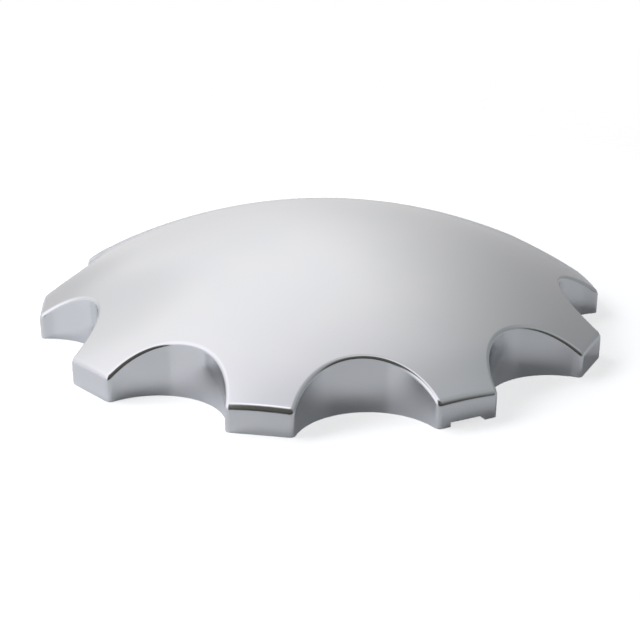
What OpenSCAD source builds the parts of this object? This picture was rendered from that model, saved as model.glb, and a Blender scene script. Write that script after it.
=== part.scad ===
// Axle hub cover for a ten-stud truck wheel.
// One thin moulded dome with a chrome-plated skin. Its skirt is notched round every wheel
// nut, and the tabs left between the notches stand flat on the face of the wheel.
// Millimetres, +Z along the axle and outwards, origin at the centre of the rim's underside.

/* [Wheel] */
// Number of wheel studs, each with its own notch
stud_count = 10; // [8:1:11]
// Diameter of the circle through the wheel studs
stud_circle_d = 285.75; // [281:0.25:292]
// Radius of each notch round its wheel nut
notch_r = 30.1; // [27:0.1:33]

/* [Dome] */
// Distance from the axis to the flat outer face of a tab
face_reach = 135; // [132:0.1:136.5]
// Height of the dome above the wheel
crown_h = 50.2; // [46:0.1:60]
// Radius of the shallow crown
crown_r = 262; // [230:1:300]
// Distance from the axis at which the crown turns into the shoulder
shoulder_start = 113; // [100:0.1:120]
// Radius of the rounder shoulder, seen in section
shoulder_r = 145; // [90:1:180]

/* [Shell] */
// Thickness of the moulded wall
wall = 3.5; // [2.5:0.1:4.5]
// Radius of the upright corners inside a tab
inner_corner_r = 1; // [0.5:0.1:2]

/* [Edge rounding] */
// Radius of the upright corners of a tab and of the edge between the dome and a notch
tab_corner_r = 2.2; // [1:0.1:3]
// Radius of the edge between the dome and the flat face of a tab
face_edge_r = 4.4; // [3.2:0.1:6]

/* [Pry slot] */
// Width of the slot that a tool goes in to lift the cover
slot_w = 16; // [10:0.5:18]
// Height of the slot above the wheel
slot_h = 2; // [1:0.1:4]

/* [Hidden] */
$fn = 180;

// Extra length by which a cutter runs past the surface that it cuts
past = 1;
// Overlap that makes two arcs cross cleanly where they are meant to be tangent
tangent_lap = 0.002;
// The same for the two roundings along the top edges, whose faces are bent both ways
face_edge_lap = 0.01;
notch_edge_lap = 0.04;
// Flats of the rounding along half a notch: over the edge of the tab, along the dome, and
// across the rounding itself
climb_steps = 5;
dome_steps = 7;
arc_steps = 5;

// Angle from one tab to the next
pitch = 360 / stud_count;
// Distance from the axis to the centre of a notch
stud_reach = stud_circle_d / 2;
// Centre of the notch beside the tab on +X
stud = stud_reach * [cos(pitch / 2), sin(pitch / 2)];
// Distance from the axis to the point where two face planes meet, which lies inside a notch
plan_reach = face_reach / cos(pitch / 2);

// Height of the centre of the crown's sphere, on the axis
crown_z = crown_h - crown_r;
// Direction from the sphere's centre to the circle where crown and shoulder meet
joint_dir = [shoulder_start / crown_r, sqrt(1 - pow(shoulder_start / crown_r, 2))];
// Centre of the shoulder's arc, on that same line, so that the two arcs are tangent
shoulder_c = [0, crown_z] + (crown_r - shoulder_r) * joint_dir;

// Height of the dome, set inwards by a distance, over a point at a distance from the axis.
function dome_z(r, inset) = r < joint_dir.x * (crown_r - inset)
    ? crown_z + sqrt(pow(crown_r - inset, 2) - r * r)
    : shoulder_c.y + sqrt(pow(shoulder_r - inset, 2) - pow(r - shoulder_c.x, 2));

// Outward direction, as a unit vector, of the dome over a point of the plan.
function dome_out(place, inset) = let (
        r = norm(place),
        arc_c = r < joint_dir.x * (crown_r - inset) ? [0, crown_z] : shoulder_c,
        out = [r, dome_z(r, inset)] - arc_c,
        unit = out / norm(out)
    ) [unit.x * place.x / r, unit.x * place.y / r, unit.y];

// A ball rolls along inside the top edge of the tab on +X and touches its flat face and the
// dome. Its centre runs parallel to the face, along an arc that follows the dome's fall.
edge_x = face_reach - face_edge_r;
edge_half = stud.y - notch_r;
edge_top = dome_z(edge_x, face_edge_r);
edge_drop = edge_top - dome_z(norm([edge_x, edge_half]), face_edge_r);
edge_arc_r = (pow(edge_half, 2) + pow(edge_drop, 2)) / (2 * edge_drop);
edge_arc_z = edge_top - edge_arc_r;

// A second, smaller ball rolls along inside the edge of a notch. It climbs the upright corner
// of the tab, goes over the rounded top edge and then on under the dome. Its centre lies this
// far behind all that it touches.
ball_inset = tab_corner_r - notch_edge_lap;
ball_reach = notch_r + ball_inset;
// What is left between the two balls where the small one rolls round inside the large one
climb_r = face_edge_r - ball_inset;
// Angle above the face's outward direction at which the top edge runs into the dome
climb_end = acos(dome_out([edge_x, edge_half], face_edge_r).x);

// One place of the small ball beside the tab on +X: its centre, the direction to the notch
// and the direction to the surface above. The first kind is given by the angle of the climb.
function climb_place(angle) = let (
        x = edge_x + climb_r * cos(angle),
        y = stud.y - sqrt(pow(ball_reach, 2) - pow(stud.x - x, 2)),
        reach = edge_arc_r + climb_r * sin(angle),
        rise = sqrt(reach * reach - y * y)
    ) [
        [x, y, edge_arc_z + rise],
        [stud.x - x, stud.y - y, 0] / ball_reach,
        [cos(angle), sin(angle) * y / reach, sin(angle) * rise / reach]
    ];
// The second kind is given by the direction to the notch.
function dome_place(angle) = let (
        to_notch = [cos(angle), sin(angle)],
        place = stud - ball_reach * to_notch
    ) [
        [place.x, place.y, dome_z(norm(place), ball_inset)],
        [to_notch.x, to_notch.y, 0],
        dome_out(place, ball_inset)
    ];
climb_top = climb_place(climb_end);
dome_first = atan2(climb_top[1].y, climb_top[1].x);
half_edge = concat(
    [for (i = [0 : climb_steps]) climb_place(climb_end * i / climb_steps)],
    [for (i = [1 : dome_steps]) dome_place(dome_first + (pitch / 2 - dome_first) * i / dome_steps)]
);

// Mirror image of a point or direction on the other side of the notch.
function mirrored(v) = [
    v.x * cos(pitch) + v.y * sin(pitch),
    v.x * sin(pitch) - v.y * cos(pitch),
    v.z
];
// All places along the edge of one notch, from tab to tab.
notch_edge = concat(
    half_edge,
    [for (i = [2 : len(half_edge)]) [for (v = half_edge[len(half_edge) - i]) mirrored(v)]]
);

// Section of what the small ball leaves: its arc between the two directions, and a corner
// outside the cover.
function edge_section(place) = let (
        side = place[1],
        up = place[2],
        turn = acos(side * up)
    )
    concat(
        [for (i = [0 : arc_steps]) let (a = turn * i / arc_steps)
            place[0] + tab_corner_r * (sin(turn - a) * side + sin(a) * up) / sin(turn)],
        [place[0] + (tab_corner_r + past) * (side + up) / (1 + side * up)]
    );

// Half of the dome's section, with its arcs set inwards by a distance. The shoulder's circle
// touches the crown's circle from inside, and what lies outside it is cut away.
module dome_section(inset, floor_z) {
    far = 2 * crown_r;
    difference() {
        intersection() {
            translate([0, floor_z]) square([plan_reach, crown_h - floor_z]);
            translate([0, crown_z]) circle(crown_r - inset);
        }
        difference() {
            polygon([shoulder_c, shoulder_c + far * joint_dir, shoulder_c + [far, 0]]);
            translate(shoulder_c) circle(shoulder_r - inset + tangent_lap);
        }
    }
}

// Sharp sliver that is cut off where a face plane meets a notch. The rounding's centre is
// one radius behind the face and one radius outside the notch. Drawn for the tab on +X.
module corner_trim(face, notch, radius) {
    centre_x = face - radius;
    centre_y = stud.y - sqrt(pow(notch + radius, 2) - pow(stud.x - centre_x, 2));
    difference() {
        polygon([[centre_x, centre_y], [face + past, centre_y], stud]);
        translate([centre_x, centre_y]) circle(radius + tangent_lap);
    }
}

// Plan of the skirt: a polygon of flat faces with a round notch at each of its corners.
module skirt_plan(inset, corner_r) {
    face = face_reach - inset;
    notch = notch_r + inset;
    difference() {
        rotate(pitch / 2 - 90) circle(face / cos(pitch / 2), $fn = stud_count);
        for (i = [0 : stud_count - 1]) rotate(i * pitch - 90) {
            rotate(pitch / 2) translate([stud_reach, 0]) circle(notch);
            corner_trim(face, notch, corner_r);
            mirror([0, 1]) corner_trim(face, notch, corner_r);
        }
    }
}

// Dome that fills the skirt's plan, set inwards by a distance on every side. The seam of its
// revolve lies in the middle of a tab, clear of the notches' edges.
module domed_body(inset, corner_r, floor_z) {
    intersection() {
        rotate(-90) rotate_extrude() dome_section(inset, floor_z);
        translate([0, 0, floor_z]) linear_extrude(crown_h) skirt_plan(inset, corner_r);
    }
}

// What is cut off the top edge of the tab on +X to round it.
module face_edge_cut() {
    up = dome_out([edge_x, 0], face_edge_r);
    side = [0, 1];
    rise = [up.z, up.x];
    far = face_edge_r + past;
    span = asin((stud.y - notch_r / 2) / edge_arc_r);
    translate([0, 0, edge_arc_z]) rotate([0, 90, 0]) rotate(180 - span)
        rotate_extrude(angle = 2 * span) translate([edge_arc_r, edge_x]) difference() {
            polygon([[0, 0], far * side, far * (side + rise) / (1 + side * rise), far * rise]);
            circle(face_edge_r + face_edge_lap);
        }
}

// What is cut off the edge of the notch beside that tab.
module notch_edge_cut() {
    rings = [for (place = notch_edge) edge_section(place)];
    n = len(rings);
    m = len(rings[0]);
    corner = m - 1;
    end = (n - 1) * m;
    polyhedron(
        points = [for (ring = rings) each ring],
        faces = concat(
            [for (i = [0 : n - 2]) for (j = [0 : m - 1]) each let (
                    a = i * m + j,
                    b = i * m + (j + 1) % m,
                    c = b + m,
                    d = a + m
                ) [[a, c, b], [a, d, c]]],
            [for (j = [0 : arc_steps - 1]) [corner, j, j + 1]],
            [for (j = [0 : arc_steps - 1]) [end + corner, end + j + 1, end + j]]
        ),
        convexity = 4
    );
}

// Slot in the bottom edge of the tab that points to -Y, through its outer wall.
module pry_slot() {
    translate([-slot_w / 2, -face_reach - past, -past]) cube([slot_w, wall + 2 * past, slot_h + past]);
}

module hub_cover() {
    color([0.82, 0.83, 0.85]) difference() {
        domed_body(0, tab_corner_r, 0);
        domed_body(wall, inner_corner_r, -past);
        pry_slot();
        for (i = [0 : stud_count - 1]) rotate(i * pitch - 90) {
            face_edge_cut();
            notch_edge_cut();
        }
    }
}

hub_cover();
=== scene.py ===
import math

import bpy
import numpy as np
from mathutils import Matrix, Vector


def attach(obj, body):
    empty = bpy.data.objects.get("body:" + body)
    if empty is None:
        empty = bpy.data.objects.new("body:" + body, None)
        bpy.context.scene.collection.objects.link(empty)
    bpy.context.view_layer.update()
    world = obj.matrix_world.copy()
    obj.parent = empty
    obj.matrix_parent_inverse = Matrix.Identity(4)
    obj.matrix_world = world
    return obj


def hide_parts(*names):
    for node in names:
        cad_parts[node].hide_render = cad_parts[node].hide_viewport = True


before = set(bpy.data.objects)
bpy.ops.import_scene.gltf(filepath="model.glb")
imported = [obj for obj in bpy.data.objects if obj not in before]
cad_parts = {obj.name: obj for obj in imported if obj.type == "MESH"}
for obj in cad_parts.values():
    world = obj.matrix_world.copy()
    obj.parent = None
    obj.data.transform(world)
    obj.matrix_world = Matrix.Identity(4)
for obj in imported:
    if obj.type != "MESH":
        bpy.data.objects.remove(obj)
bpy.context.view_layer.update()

# Axle hub cover: one thin chrome-plated dome with a notched skirt. Lengths are in millimetres
# up to the mesh, which is in metres. +Z is the axle, and the tab with the pry slot points to -Y.
MM = 0.001

# Wheel: ten nuts on a standard stud circle
TABS = 10
STUD_REACH = 285.75 / 2
NOTCH_R = 30.1

# Dome: a shallow crown that turns into a rounder shoulder
FACE_REACH = 135.0
CROWN_H = 50.2
CROWN_R = 262.0
SHOULDER_START = 113.0
SHOULDER_R = 145.0

# Shell, edges and slot
WALL = 3.5
FACE_EDGE_R = 4.4
NOTCH_EDGE_R = 2.2
INNER_CORNER_R = 1.0
SLOT_W = 16.0
SLOT_H = 2.0

# Steps of the surface grids
FACE_STEPS = 3
CORNER_STEPS = 8
BEND_STEPS = 6
NOTCH_STEPS = 28
WALL_STEPS = 3
FAN_STEPS = 8
CROWN_STEPS = 16
# Rounds that settle where the two balls of the rounded edges touch
SETTLE_ROUNDS = 12
# Radius at which the fan between the skirt's edge and the crown's rings ends
FAN_R = 94.0
# Corners that fall in one cell of this size are welded. The cells are moved by a share of their
# size, so that no corner lies on a cell's side.
WELD_CELL = 0.001
WELD_SHIFT = 0.37

HALF_PITCH = math.pi / TABS
CROWN_Z = CROWN_H - CROWN_R
JOINT_SIN = SHOULDER_START / CROWN_R
JOINT_COS = math.sqrt(1 - JOINT_SIN ** 2)
SHOULDER_X = (CROWN_R - SHOULDER_R) * JOINT_SIN
SHOULDER_Z = CROWN_Z + (CROWN_R - SHOULDER_R) * JOINT_COS


def dome_z(r, inset=0.0):
    """Height of the dome at a distance r from the axis: the crown's circle out to the joint, and
    the shoulder's circle beyond it, both smaller by the inset."""
    crown = CROWN_Z + np.sqrt(np.maximum((CROWN_R - inset) ** 2 - r ** 2, 0))
    shoulder = SHOULDER_Z + np.sqrt(np.maximum((SHOULDER_R - inset) ** 2 - (r - SHOULDER_X) ** 2, 0))
    return np.where(r < JOINT_SIN * (CROWN_R - inset), crown, shoulder)


def dome_normal(points, inset=0.0):
    """Outward direction of the inset dome over plan points: away from the centre of the circle
    that the point's meridian follows there."""
    r = np.hypot(points[..., 0], points[..., 1])
    z = dome_z(r, inset)
    crown = r < JOINT_SIN * (CROWN_R - inset)
    radial = np.where(crown, r, r - SHOULDER_X)
    up = z - np.where(crown, CROWN_Z, SHOULDER_Z)
    size = np.hypot(radial, up)
    away = points[..., :2] / np.maximum(r, 1e-9)[..., None]
    return np.concatenate([away * (radial / size)[..., None], (up / size)[..., None]], axis=-1)


def on_dome(plan, inset=0.0):
    """Plan points lifted onto the inset dome."""
    r = np.hypot(plan[..., 0], plan[..., 1])
    return np.concatenate([plan[..., :2], dome_z(r, inset)[..., None]], axis=-1)


def turn_between(a, b, share):
    """Unit directions that turn evenly from a to b: the great circle through both."""
    full = np.arccos(np.clip(np.sum(a * b, axis=-1), -1, 1))[..., None]
    share = np.asarray(share)[..., None]
    return (np.sin((1 - share) * full) * a + np.sin(share * full) * b) / np.sin(full)


def arc_centre(face, notch, radius):
    """Centre of an upright corner of a tab, one radius behind the face and one outside the notch,
    and the centre of the notch. The tab's own frame has x outwards through its middle and y
    along its face."""
    nut = STUD_REACH * np.array([math.cos(HALF_PITCH), math.sin(HALF_PITCH)])
    x = face - radius
    return np.array([x, nut[1] - math.sqrt((notch + radius) ** 2 - (nut[0] - x) ** 2)]), nut


def edge_spine(y):
    """Centre of the ball that rolls along a face's top edge, behind the face and under the dome."""
    x = np.full_like(y, FACE_REACH - FACE_EDGE_R)
    return np.stack([x, y, dome_z(np.hypot(x, y), FACE_EDGE_R)], axis=-1)


def edge_direction(y, share):
    """Direction from that ball's centre to the rounded edge: from straight out, at the face, to
    the dome's own direction, at the top."""
    spine = edge_spine(y)
    out = np.broadcast_to(np.array([1.0, 0.0, 0.0]), spine.shape)
    return turn_between(out, dome_normal(spine, FACE_EDGE_R), share)


def notch_edge():
    """Path of the ball that rolls along a notch's edge, for half a tab and half a notch: up the
    tab's corner, round the face's top edge, and along the dome to the notch's middle. Returns
    the ball's centres, its directions to the notch wall and to the outer skin, and how far from
    the tab's middle the face's own ball is at each station of the bend."""
    r = NOTCH_EDGE_R
    corner, nut = arc_centre(FACE_REACH, NOTCH_R, r)
    share = np.linspace(0, 1, BEND_STEPS + 1)
    y = np.full(BEND_STEPS + 1, corner[1])
    for _ in range(SETTLE_ROUNDS):
        aim = edge_direction(y, share)
        x = FACE_REACH - FACE_EDGE_R + (FACE_EDGE_R - r) * aim[:, 0]
        reach = np.sqrt((NOTCH_R + r) ** 2 - (nut[0] - x) ** 2)
        y = nut[1] - reach - (FACE_EDGE_R - r) * aim[:, 1]
    bend = edge_spine(y) + (FACE_EDGE_R - r) * aim
    start = math.atan2(bend[-1, 1] - nut[1], bend[-1, 0] - nut[0])
    start = start % (2 * math.pi)
    angle = np.linspace(start, HALF_PITCH + math.pi, NOTCH_STEPS + 1)[1:]
    plan = nut + (NOTCH_R + r) * np.stack([np.cos(angle), np.sin(angle)], axis=-1)
    along = on_dome(plan, r)
    centres = np.concatenate([bend, along])
    skin = np.concatenate([aim, dome_normal(along, r)])
    wall = np.zeros_like(centres)
    wall[:, :2] = nut - centres[:, :2]
    wall /= np.linalg.norm(wall, axis=-1, keepdims=True)
    return centres, wall, skin, y


def flat_normals(points, direction):
    """The same direction at every point of a grid."""
    return np.broadcast_to(np.asarray(direction, float), points.shape)


def half_tab():
    """Grids of one half of a tab and half of its notch, in the tab's own frame, each with its
    directions: notch edge with the tab's corner, notch wall, half face, half rounded top edge,
    half of the dome's fan, the rim's underside and the inside."""
    centres, to_wall, to_skin, spine_y = notch_edge()
    across = np.linspace(0, 1, CORNER_STEPS + 1)
    grids = {}

    # Tab's corner: upright lines below the first station of the notch edge
    levels = np.linspace(0, 1, WALL_STEPS + 1)
    aim = turn_between(to_skin[0], to_wall[0], across)
    foot = centres[0] * [1, 1, 0] + NOTCH_EDGE_R * aim
    points = np.repeat(foot[None], WALL_STEPS + 1, axis=0)
    points[..., 2] = centres[0, 2] * levels[:, None]
    grids["corner"] = (points, np.broadcast_to(aim, points.shape))

    # Notch edge: the rolling ball's arc from the skin to the wall at each station
    aim = turn_between(to_skin[:, None], to_wall[:, None], across[None])
    grids["notch_edge"] = (centres[:, None] + NOTCH_EDGE_R * aim, aim)

    # Notch wall: straight down from the edge
    top = centres + NOTCH_EDGE_R * to_wall
    points = np.repeat(top[None], WALL_STEPS + 1, axis=0)
    points[..., 2] = top[None, :, 2] * levels[:, None]
    grids["notch_wall"] = (points, np.broadcast_to(to_wall, points.shape))

    # Face and its rounded top edge, from the tab's middle to the corner
    half = face_columns(spine_y[0])
    spine = edge_spine(half)
    points = np.repeat(spine[None], WALL_STEPS + 1, axis=0)
    points[..., 0] = FACE_REACH
    points[..., 2] = spine[None, :, 2] * levels[:, None]
    points[1, :, 2] = SLOT_H
    grids["corner"][0][1, :, 2] = SLOT_H
    grids["notch_wall"][0][1, :, 2] = SLOT_H
    grids["face"] = (points, flat_normals(points, [1, 0, 0]))
    y = spine_y[:, None] * (half / spine_y[0])[None]
    share = np.repeat(np.linspace(0, 1, BEND_STEPS + 1)[:, None], len(half), axis=1)
    aim = edge_direction(y, share)
    grids["top_edge"] = (edge_spine(y) + FACE_EDGE_R * aim, aim)

    # Fan of the dome, from the skirt's edge inwards to a ring
    edge = np.concatenate([grids["top_edge"][0][-1], (centres + NOTCH_EDGE_R * to_skin)[BEND_STEPS + 1:]])
    step = np.linalg.norm(np.diff(edge[:, :2], axis=0), axis=-1)
    turn = HALF_PITCH * np.concatenate([[0], np.cumsum(step)]) / np.sum(step)
    ring = FAN_R * np.stack([np.cos(turn), np.sin(turn)], axis=-1)
    fan = np.linspace(0, 1, FAN_STEPS + 1)[:, None, None]
    plan = edge[None, :, :2] * (1 - fan) + ring[None] * fan
    points = on_dome(plan)
    points[0] = edge
    grids["fan"] = (points, dome_normal(points))

    # Crown: rings from the fan to the axis
    ring_r = FAN_R * np.linspace(1, 0, CROWN_STEPS + 1)[:, None, None]
    plan = ring_r * np.stack([np.cos(turn), np.sin(turn)], axis=-1)[None]
    points = on_dome(plan)
    grids["crown"] = (points, dome_normal(points))

    # Inside: the same outline set inwards by the wall, up to the inset dome
    corner, nut = arc_centre(FACE_REACH - WALL, NOTCH_R + WALL, INNER_CORNER_R)
    to_nut = (nut - corner) / np.linalg.norm(nut - corner)
    turn_in = math.atan2(to_nut[1], to_nut[0]) * across
    inner_face = np.stack([np.full(len(half), FACE_REACH - WALL), face_columns(corner[1])], axis=-1)
    inner_corner = corner + INNER_CORNER_R * np.stack([np.cos(turn_in), np.sin(turn_in)], axis=-1)
    spread = np.linspace(0, 1, len(centres))
    first = math.atan2(-to_nut[1], -to_nut[0]) % (2 * math.pi)
    angle = first + (HALF_PITCH + math.pi - first) * spread
    inner_notch = nut + (NOTCH_R + WALL) * np.stack([np.cos(angle), np.sin(angle)], axis=-1)
    for name, plan, aim in (
        ("inner_face", inner_face, np.broadcast_to([-1.0, 0.0], inner_face.shape)),
        ("inner_corner", inner_corner, -(inner_corner - corner) / INNER_CORNER_R),
        ("inner_notch", inner_notch, (inner_notch - nut) / (NOTCH_R + WALL)),
    ):
        high = on_dome(plan, WALL)
        points = np.repeat(high[None], WALL_STEPS + 1, axis=0)
        points[..., 2] = high[None, :, 2] * levels[:, None]
        points[1, :, 2] = SLOT_H
        aim = np.concatenate([aim, np.zeros((len(plan), 1))], axis=-1)
        grids[name] = (points[::-1], np.broadcast_to(aim, points.shape))
    outline = np.concatenate([inner_face, inner_corner[1:], inner_notch[1:]])
    step = np.linalg.norm(np.diff(outline, axis=0), axis=-1)
    turn = HALF_PITCH * np.concatenate([[0], np.cumsum(step)]) / np.sum(step)
    ring = FAN_R * np.stack([np.cos(turn), np.sin(turn)], axis=-1)
    plan = outline[None] * (1 - fan) + ring[None] * fan
    points = on_dome(plan, WALL)
    grids["inner_fan"] = (points[::-1], -dome_normal(points, WALL)[::-1])
    plan = ring_r * np.stack([np.cos(turn), np.sin(turn)], axis=-1)[None]
    points = on_dome(plan, WALL)
    grids["inner_crown"] = (points[::-1], -dome_normal(points, WALL)[::-1])

    # Rim's underside, between the outer and the inner outline
    outer = np.concatenate([grids["face"][0][0], grids["corner"][0][0][1:], grids["notch_wall"][0][0][1:]])
    inner = np.concatenate([outline, np.zeros((len(outline), 1))], axis=-1)
    points = np.stack([inner, outer])
    grids["rim"] = (points, flat_normals(points, [0, 0, -1]))
    return grids


def face_columns(end):
    """Columns of a half face: the tab's middle, the slot's end, and the corner's start."""
    return np.concatenate([np.linspace(0, SLOT_W / 2, FACE_STEPS), [end]])


def slot_grids():
    """Roof and end wall of one half of the pry slot, from the face to the inner wall."""
    x = np.array([FACE_REACH, FACE_REACH - WALL])
    y = np.linspace(0, SLOT_W / 2, FACE_STEPS)
    roof = np.stack([*np.meshgrid(x, y, indexing="ij"), np.full((2, FACE_STEPS), SLOT_H)], axis=-1)
    z = np.array([0, SLOT_H])
    end = np.stack([*np.meshgrid(x, z, indexing="ij")], axis=-1)
    end = np.stack([end[..., 0], np.full((2, 2), SLOT_W / 2), end[..., 1]], axis=-1)
    return {
        "slot_roof": (roof, flat_normals(roof, [0, 0, -1])),
        "slot_end": (end, flat_normals(end, [0, -1, 0])),
    }


def grid_faces(points, normals, keep=None):
    """Corner positions and directions of a grid's quads, wound so that they face their normals."""
    corners = np.stack([points[:-1, :-1], points[1:, :-1], points[1:, 1:], points[:-1, 1:]], axis=2)
    aims = np.stack([normals[:-1, :-1], normals[1:, :-1], normals[1:, 1:], normals[:-1, 1:]], axis=2)
    if keep is not None:
        corners, aims = corners[keep], aims[keep]
    corners, aims = corners.reshape(-1, 4, 3), aims.reshape(-1, 4, 3)
    lean = np.cross(corners[:, 2] - corners[:, 0], corners[:, 3] - corners[:, 1])
    wrong = np.sum(lean * aims.mean(axis=1), axis=-1) < 0
    corners[wrong], aims[wrong] = corners[wrong, ::-1], aims[wrong, ::-1]
    return corners, aims


def cover_faces():
    """Quads of the whole cover: the half tab, mirrored and turned to every tab. The tab that
    points to -Y has its slot left open. The third array marks the quads of the inside."""
    all_corners, all_aims, all_inside = [], [], []
    plain = half_tab()
    open_cells = {}
    for name in ("face", "inner_face", "rim"):
        keep = np.ones(np.array(plain[name][0].shape[:2]) - 1, bool)
        row = keep.shape[0] - 1 if name == "inner_face" else 0
        keep[row, :FACE_STEPS - 1] = False
        open_cells[name] = keep
    for tab in range(TABS):
        grids = dict(plain)
        if tab == 0:
            grids.update(slot_grids())
        angle = 2 * HALF_PITCH * tab - math.pi / 2
        c, s = math.cos(angle), math.sin(angle)
        turn = np.array([[c, s, 0], [-s, c, 0], [0, 0, 1]])
        for name, (points, aims) in grids.items():
            keep = open_cells.get(name) if tab == 0 else None
            for side in (1, -1):
                flip = np.array([1, side, 1])
                corners, directions = grid_faces(points * flip, aims * flip, keep)
                all_corners.append(corners @ turn)
                all_aims.append(directions @ turn)
                all_inside.append(np.full(len(corners), name.startswith("inner")))
    return np.concatenate(all_corners), np.concatenate(all_aims), np.concatenate(all_inside)


def make_cover():
    """One closed mesh: equal corners are welded, empty quads at the poles become triangles, and
    every corner keeps its grid's own direction, so that the reflections run smoothly."""
    corners, aims, inside = cover_faces()
    keys = np.floor(corners.reshape(-1, 3) / WELD_CELL + WELD_SHIFT).astype(np.int64)
    _, first, index = np.unique(keys, axis=0, return_index=True, return_inverse=True)
    verts = corners.reshape(-1, 3)[first] * MM
    index = index.reshape(-1, 4)
    doubled = index == np.roll(index, 1, axis=1)
    crossed = (index[:, 0] == index[:, 2]) | (index[:, 1] == index[:, 3])
    whole = (doubled.sum(axis=1) == 0) & ~crossed
    narrow = (doubled.sum(axis=1) == 1) & ~crossed
    kept = ~doubled[narrow]
    quads, quad_aims = index[whole], aims[whole]
    triangles, triangle_aims = index[narrow][kept].reshape(-1, 3), aims[narrow][kept]
    mesh = bpy.data.meshes.new("hub_cover_skin")
    mesh.from_pydata(verts.tolist(), [], quads.tolist() + triangles.tolist())
    mesh.polygons.foreach_set("use_smooth", np.ones(len(mesh.polygons), bool))
    corner_aims = np.concatenate([quad_aims.reshape(-1, 3), triangle_aims.reshape(-1, 3)])
    mesh.normals_split_custom_set(corner_aims)
    inner = mesh.attributes.new("inside", "FLOAT", "FACE")
    marks = np.concatenate([inside[whole], inside[narrow]]).astype(np.float32)
    inner.data.foreach_set("value", marks)
    mesh.update()
    cover = bpy.data.objects.new("hub_cover_skin", mesh)
    bpy.context.scene.collection.objects.link(cover)
    return cover


def add(tree, kind, **settings):
    """New node of a kind, with its settings."""
    node = tree.nodes.new(kind)
    for name, value in settings.items():
        setattr(node, name, value)
    return node


def math_node(tree, operation, *values):
    """Math node whose inputs are numbers or other nodes' sockets."""
    node = add(tree, "ShaderNodeMath", operation=operation)
    for socket, value in zip(node.inputs, values):
        if isinstance(value, (int, float)):
            socket.default_value = value
        else:
            tree.links.new(value, socket)
    return node.outputs[0]


def soft_step(tree, value, start, end, low=0.0, high=1.0):
    """Value that goes smoothly from low to high while the input goes from start to end."""
    node = add(tree, "ShaderNodeMapRange", interpolation_type="SMOOTHSTEP")
    tree.links.new(value, node.inputs["Value"])
    for name, number in (("From Min", start), ("From Max", end), ("To Min", low), ("To Max", high)):
        node.inputs[name].default_value = number
    return node.outputs["Result"]


def along(tree, vector, direction):
    """Cosine between a direction socket and a fixed direction."""
    node = add(tree, "ShaderNodeVectorMath", operation="DOT_PRODUCT")
    tree.links.new(vector, node.inputs[0])
    node.inputs[1].default_value = tuple(direction)
    return node.outputs["Value"]


def blend(tree, share, low, high):
    """Mix of two numbers or sockets by a share. The Mix node has its numbers in inputs 2 and 3."""
    node = add(tree, "ShaderNodeMix", data_type="FLOAT")
    for socket, value in zip((node.inputs[0], node.inputs[2], node.inputs[3]), (share, low, high)):
        if isinstance(value, (int, float)):
            socket.default_value = value
        else:
            tree.links.new(value, socket)
    return node.outputs[0]


def colour_blend(tree, share, low, high):
    """Mix of two colours, given or from sockets, by a share. The Mix node has its colours in
    inputs 6 and 7 and in output 2."""
    node = add(tree, "ShaderNodeMix", data_type="RGBA")
    tree.links.new(share, node.inputs[0])
    for socket, value in zip((node.inputs[6], node.inputs[7]), (low, high)):
        if isinstance(value, tuple):
            socket.default_value = (*value, 1)
        else:
            tree.links.new(value, socket)
    return node.outputs[2]


# Plating: its colour in clear and in hazy places, outside and inside
PLATE_CLEAR = (0.865, 0.872, 0.89)
PLATE_HAZY = (0.85, 0.862, 0.883)
INSIDE_CLEAR = (0.63, 0.64, 0.66)
INSIDE_HAZY = (0.53, 0.54, 0.565)
# Roughness in clear and in hazy places, outside and inside
HAZE_OUTSIDE = (0.15, 0.18)
HAZE_INSIDE = (0.24, 0.36)
# Depth in metres of the ripple of the moulding under the plating
RIPPLE = 4e-6
# Scale and detail of the noise behind the clouds of haze, the grain inside and the ripple
CLOUD_NOISE = (24, 2)
GRAIN_NOISE = (900, 3)
RIPPLE_NOISE = (230, 1)
# Noise values between which clouds and grain come in
CLOUD_EDGES = (0.35, 0.65)
GRAIN_EDGES = (0.3, 0.7)


def noise(tree, place, scale, detail):
    """Soft noise from 0 to 1 on the object's own coordinates, whose features are about one metre
    over the scale wide."""
    node = add(tree, "ShaderNodeTexNoise")
    tree.links.new(place, node.inputs["Vector"])
    node.inputs["Scale"].default_value = scale
    node.inputs["Detail"].default_value = detail
    return node.outputs["Fac"]


def chrome():
    """Bright plating over moulded plastic. Outside it is a mirror whose faint haze comes and goes
    in soft clouds. Inside, where the mould isn't polished, it is a grainy satin."""
    mat = bpy.data.materials.new("chrome_skin")
    mat.use_nodes = True
    tree = mat.node_tree
    shader = tree.nodes["Principled BSDF"]
    place = add(tree, "ShaderNodeTexCoord").outputs["Object"]
    inside = add(tree, "ShaderNodeAttribute", attribute_name="inside").outputs["Fac"]
    cloud = soft_step(tree, noise(tree, place, *CLOUD_NOISE), *CLOUD_EDGES)
    grain = soft_step(tree, noise(tree, place, *GRAIN_NOISE), *GRAIN_EDGES)
    outer_haze = blend(tree, cloud, *HAZE_OUTSIDE)
    inner_haze = blend(tree, grain, *HAZE_INSIDE)
    plate = colour_blend(tree, cloud, PLATE_CLEAR, PLATE_HAZY)
    inner_plate = colour_blend(tree, cloud, INSIDE_CLEAR, INSIDE_HAZY)
    ripple = add(tree, "ShaderNodeBump")
    ripple.inputs["Strength"].default_value = 1.0
    ripple.inputs["Distance"].default_value = RIPPLE
    tree.links.new(noise(tree, place, *RIPPLE_NOISE), ripple.inputs["Height"])
    tree.links.new(colour_blend(tree, inside, plate, inner_plate), shader.inputs["Base Color"])
    tree.links.new(blend(tree, inside, outer_haze, inner_haze), shader.inputs["Roughness"])
    tree.links.new(ripple.outputs["Normal"], shader.inputs["Normal"])
    shader.inputs["Metallic"].default_value = 1.0
    return mat


cover = make_cover()
cover.data.materials.append(chrome())
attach(cover, "root")
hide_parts("hub_cover")

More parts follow.
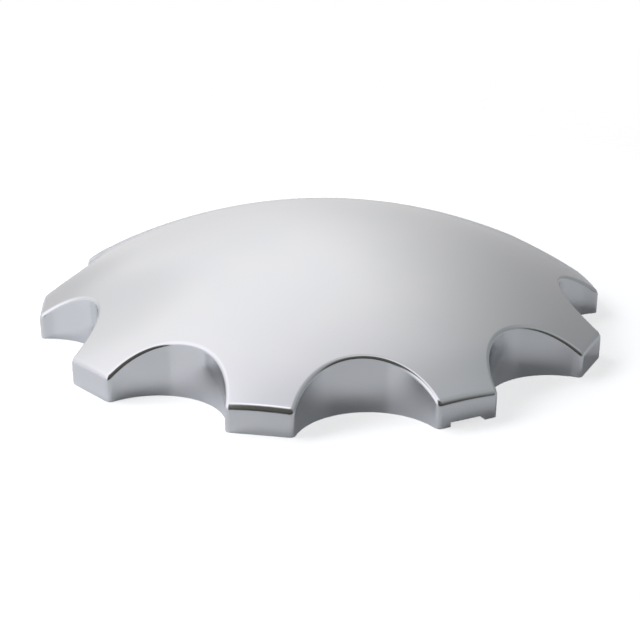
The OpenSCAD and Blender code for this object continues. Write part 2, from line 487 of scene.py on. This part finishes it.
# Camera: seen from a little left of the slot tab and about 21 degrees above the wheel's face
CAMERA_AZIMUTH = math.radians(-25.32)
CAMERA_ELEVATION = math.radians(20.69)
CAMERA_DISTANCE = 0.6016
CAMERA_LENS = 68.77
CAMERA_SENSOR = 36
CAMERA_SHIFT = (-0.0048, -0.0074)


def make_camera():
    """Camera that looks at the origin, with the small shift of the photo's framing."""
    data = bpy.data.cameras.new("camera")
    data.lens = CAMERA_LENS
    data.sensor_width = CAMERA_SENSOR
    data.sensor_fit = "HORIZONTAL"
    data.shift_x, data.shift_y = CAMERA_SHIFT
    camera = bpy.data.objects.new("camera", data)
    flat = CAMERA_DISTANCE * math.cos(CAMERA_ELEVATION)
    camera.location = (
        flat * math.sin(CAMERA_AZIMUTH),
        -flat * math.cos(CAMERA_AZIMUTH),
        CAMERA_DISTANCE * math.sin(CAMERA_ELEVATION),
    )
    camera.rotation_euler = (math.pi / 2 - CAMERA_ELEVATION, 0, CAMERA_AZIMUTH)
    bpy.context.scene.collection.objects.link(camera)
    bpy.context.scene.camera = camera


make_camera()

# Directions in the studio, seen from the camera: to its right, and level away from it
TO_RIGHT = np.array([math.cos(CAMERA_AZIMUTH), math.sin(CAMERA_AZIMUTH), 0.0])
AWAY = np.array([-math.sin(CAMERA_AZIMUTH), math.cos(CAMERA_AZIMUTH), 0.0])


def studio_direction(azimuth, elevation):
    """Unit direction at an azimuth to the right of the camera's own line and at an elevation."""
    a, e = math.radians(azimuth), math.radians(elevation)
    level = math.sin(a) * TO_RIGHT + math.cos(a) * AWAY
    return level * math.cos(e) + np.array([0, 0, math.sin(e)])


# Studio: how bright the tent is that the chrome mirrors, where 1 is white
TENT_WHITE = 0.965
TENT_FAR = 0.307
TENT_LOW = 0.81
RIGHT_GREY = 0.294
SIDE_LAMP = 1.06
FRONT_TOP = 0.67
FRONT_DARK = 0.085
FRONT_LOW = 0.035
ROOF_GLOW = 1.35
# Level of the light on matt things
LIGHT_LEVEL = 0.16

# Where those tones lie, as an azimuth to the right of the camera's line and an elevation
TENT_TOWARDS = (-47.5, 9.3)
RIGHT_TOWARDS = (64.5, 0)
LAMP_TOWARDS = (-112, 42)
ROOF_TOWARDS = (-160, 70)
TINT_TOWARDS = (100, 12)
# Cosines between which each tone comes in, and for the low tent and the top of the lamp heights
TENT_FADE = (-0.39, 0.75)
TENT_RISE = (-0.1, 0.89)
RIGHT_FADE = (0.29, 0.985)
FRONT_FADE = (0, -0.2)
FRONT_SIDE = (0.42, 0.2)
LAMP_FADE = (0.74, 0.93)
LAMP_TOP = (0.975, 0.92)
ROOF_FADE = (0.965, 0.992)
DARK_RISE = (0.1, 0.4)
TINT_FADE = (0.3, 0.85)
TINT_AWAY = (0.6, -0.2)
# Patches of the tent: azimuth, elevation, cosine at the rim, and the factor for the tone inside.
# The first is a greyer corner behind on the left, the second the fold above it, and the third
# the tent's lighter right side.
PATCHES = (
    (-34, 4, 0.955, 0.76),
    (-38, 29, 0.955, 0.88),
    (100, 48, 0.88, 1.3),
)
# Cosine at which a patch has its full tone
PATCH_CORE = 0.995

# Straight edges of the dark gap: the normal of a plane through the object, and the cosines to
# that normal between which the gap comes in. The roof, the lamp and the right side make them.
ROOF_EDGE = 0.204 * TO_RIGHT + 0.919 * AWAY + np.array([0, 0, 0.337])
LAMP_EDGE = -0.8335 * TO_RIGHT + 0.5268 * AWAY - np.array([0, 0, 0.1668])
RIGHT_EDGE = 0.438 * TO_RIGHT + 0.899 * AWAY
GAP_EDGES = (
    (ROOF_EDGE, -0.08, -0.34),
    (LAMP_EDGE, 0.06, -0.08),
    (RIGHT_EDGE, 0.06, -0.06),
)

# Tints of the mirrored tent: behind the object, on the camera's side, to the right, in the gap
TINT_BEHIND = (1.0, 0.995, 1.0)
TINT_FRONT = (1.0, 0.99, 1.055)
TINT_RIGHT = (0.955, 1.0, 1.015)
TINT_DARK = (1.0, 1.0, 0.86)
WHITE = (1, 1, 1)


def make_world():
    """Soft studio tent. Light on matt things is even. The camera sees a white background, and
    metal sees the tent's tones in its place: each is a smooth step of the cosine between the
    mirrored direction and a place in the tent. It is white behind and to the left, grey to the
    right, and has a dark gap in front."""
    world = bpy.data.worlds.new("studio")
    bpy.context.scene.world = world
    world.use_nodes = True
    tree = world.node_tree
    tree.nodes.clear()
    ray = add(tree, "ShaderNodeLightPath").outputs
    facing = add(tree, "ShaderNodeTexCoord").outputs["Generated"]
    right = along(tree, facing, TO_RIGHT)
    away = along(tree, facing, AWAY)
    up = along(tree, facing, (0, 0, 1))

    def nearness(place):
        """Cosine between the mirrored direction and a place in the tent."""
        return along(tree, facing, studio_direction(*place))

    glow = soft_step(tree, nearness(TENT_TOWARDS), *TENT_FADE, TENT_FAR, TENT_WHITE)
    tent = math_node(tree, "MULTIPLY", glow, soft_step(tree, up, *TENT_RISE, TENT_LOW, 1.0))
    shade = soft_step(tree, nearness(RIGHT_TOWARDS), *RIGHT_FADE)
    tone = blend(tree, shade, tent, RIGHT_GREY)
    for azimuth, elevation, rim, gain in PATCHES:
        patch = soft_step(tree, nearness((azimuth, elevation)), rim, PATCH_CORE, 1.0, gain)
        tone = math_node(tree, "MULTIPLY", tone, patch)
    # Tent's roof over the camera, and a soft lamp beside it on the left
    roof = soft_step(tree, away, *FRONT_FADE)
    roof = math_node(tree, "MULTIPLY", roof, soft_step(tree, right, *FRONT_SIDE))
    tone = blend(tree, roof, tone, FRONT_TOP)
    lamp = soft_step(tree, nearness(LAMP_TOWARDS), *LAMP_FADE)
    lamp = math_node(tree, "MULTIPLY", lamp, soft_step(tree, up, *LAMP_TOP))
    tone = blend(tree, lamp, tone, SIDE_LAMP)
    # Lighter front edge of the roof
    edge = soft_step(tree, nearness(ROOF_TOWARDS), *ROOF_FADE, 1.0, ROOF_GLOW)
    tone = math_node(tree, "MULTIPLY", tone, edge)
    # Dark gap in the tent, where the camera stands, inside all three of its straight edges
    gap = 1.0
    for normal, start, end in GAP_EDGES:
        gap = math_node(tree, "MULTIPLY", gap, soft_step(tree, along(tree, facing, normal), start, end))
    dark = soft_step(tree, up, *DARK_RISE, FRONT_LOW, FRONT_DARK)
    tone = blend(tree, gap, tone, dark)
    tone = blend(tree, ray["Is Camera Ray"], tone, 1.0)
    cool = colour_blend(tree, soft_step(tree, away, *TINT_AWAY), TINT_BEHIND, TINT_FRONT)
    cool = colour_blend(tree, soft_step(tree, nearness(TINT_TOWARDS), *TINT_FADE), cool, TINT_RIGHT)
    cool = colour_blend(tree, gap, cool, TINT_DARK)
    cool = colour_blend(tree, ray["Is Camera Ray"], cool, WHITE)
    background = add(tree, "ShaderNodeBackground")
    tree.links.new(tone, background.inputs["Strength"])
    tree.links.new(cool, background.inputs["Color"])
    light = add(tree, "ShaderNodeBackground")
    light.inputs["Color"].default_value = (*WHITE, 1)
    light.inputs["Strength"].default_value = LIGHT_LEVEL
    seen = math_node(tree, "ADD", ray["Is Camera Ray"], ray["Is Glossy Ray"])
    seen = math_node(tree, "ADD", seen, ray["Is Transmission Ray"])
    mix = add(tree, "ShaderNodeMixShader")
    tree.links.new(seen, mix.inputs[0])
    tree.links.new(light.outputs[0], mix.inputs[1])
    tree.links.new(background.outputs[0], mix.inputs[2])
    tree.links.new(mix.outputs[0], add(tree, "ShaderNodeOutputWorld").inputs[0])


make_world()


def make_lamp(name, azimuth, elevation, distance, size, power):
    """Soft square lamp that looks at the origin. Metal doesn't mirror it, because the tent's tones
    stand for it there."""
    data = bpy.data.lights.new(name, "AREA")
    data.size = size
    data.energy = power
    lamp = bpy.data.objects.new(name, data)
    direction = studio_direction(azimuth, elevation)
    lamp.location = tuple(direction * distance)
    lamp.rotation_mode = "QUATERNION"
    lamp.rotation_quaternion = Vector(direction).to_track_quat("Z", "Y")
    lamp.visible_glossy = False
    bpy.context.scene.collection.objects.link(lamp)


# Lamps: azimuth, elevation, distance, size and power
make_lamp("key_lamp", -52, 50, 1.0, 0.5, 3.25)
make_lamp("side_lamp", -98, 36, 0.8, 0.4, 2.1)

# Floor: its colour and half its width, the white backdrop that shines through it for the camera
# and for what metal mirrors, and where it has faded into that backdrop: by the distance from the
# object for the camera, and by the distance behind the object for all other rays
PAPER = (0.78, 0.80, 0.835)
PAPER_HALF = 1.0
CAMERA_GLOW = 0.66
MIRROR_GLOW = 0.12
CAMERA_CLEAR = (0.2, 0.6)
BEHIND_CLEAR = (0.16, 0.42)


def make_floor():
    """Plain pale paper that keeps the object's shadow. The white backdrop shines through it, so
    that the background is white, and it fades out with the distance from the object."""
    half = PAPER_HALF
    corners = [(-half, -half, 0), (half, -half, 0), (half, half, 0), (-half, half, 0)]
    mesh = bpy.data.meshes.new("floor")
    mesh.from_pydata(corners, [], [(0, 1, 2, 3)])
    floor = bpy.data.objects.new("floor", mesh)
    bpy.context.scene.collection.objects.link(floor)
    mat = bpy.data.materials.new("floor_paper")
    mat.use_nodes = True
    tree = mat.node_tree
    tree.nodes.clear()
    ray = add(tree, "ShaderNodeLightPath").outputs
    paper = add(tree, "ShaderNodeBsdfDiffuse")
    paper.inputs["Color"].default_value = (*PAPER, 1)
    mirrored = math_node(tree, "ADD", ray["Is Glossy Ray"], ray["Is Transmission Ray"])
    glow = math_node(tree, "MULTIPLY", mirrored, MIRROR_GLOW)
    glow = math_node(tree, "MULTIPLY_ADD", ray["Is Camera Ray"], CAMERA_GLOW, glow)
    through = add(tree, "ShaderNodeBsdfTransparent")
    tree.links.new(glow, through.inputs["Color"])
    lit = add(tree, "ShaderNodeAddShader")
    tree.links.new(paper.outputs[0], lit.inputs[0])
    tree.links.new(through.outputs[0], lit.inputs[1])
    place = add(tree, "ShaderNodeTexCoord").outputs["Object"]
    reach = add(tree, "ShaderNodeVectorMath", operation="LENGTH")
    tree.links.new(place, reach.inputs[0])
    far = soft_step(tree, reach.outputs["Value"], *CAMERA_CLEAR)
    behind = soft_step(tree, along(tree, place, AWAY), *BEHIND_CLEAR)
    mix = add(tree, "ShaderNodeMixShader")
    tree.links.new(blend(tree, ray["Is Camera Ray"], behind, far), mix.inputs[0])
    tree.links.new(lit.outputs[0], mix.inputs[1])
    tree.links.new(add(tree, "ShaderNodeBsdfTransparent").outputs[0], mix.inputs[2])
    tree.links.new(mix.outputs[0], add(tree, "ShaderNodeOutputMaterial").inputs[0])
    mesh.materials.append(mat)


make_floor()

bpy.context.scene.view_settings.view_transform = "Standard"
bpy.context.view_layer.update()
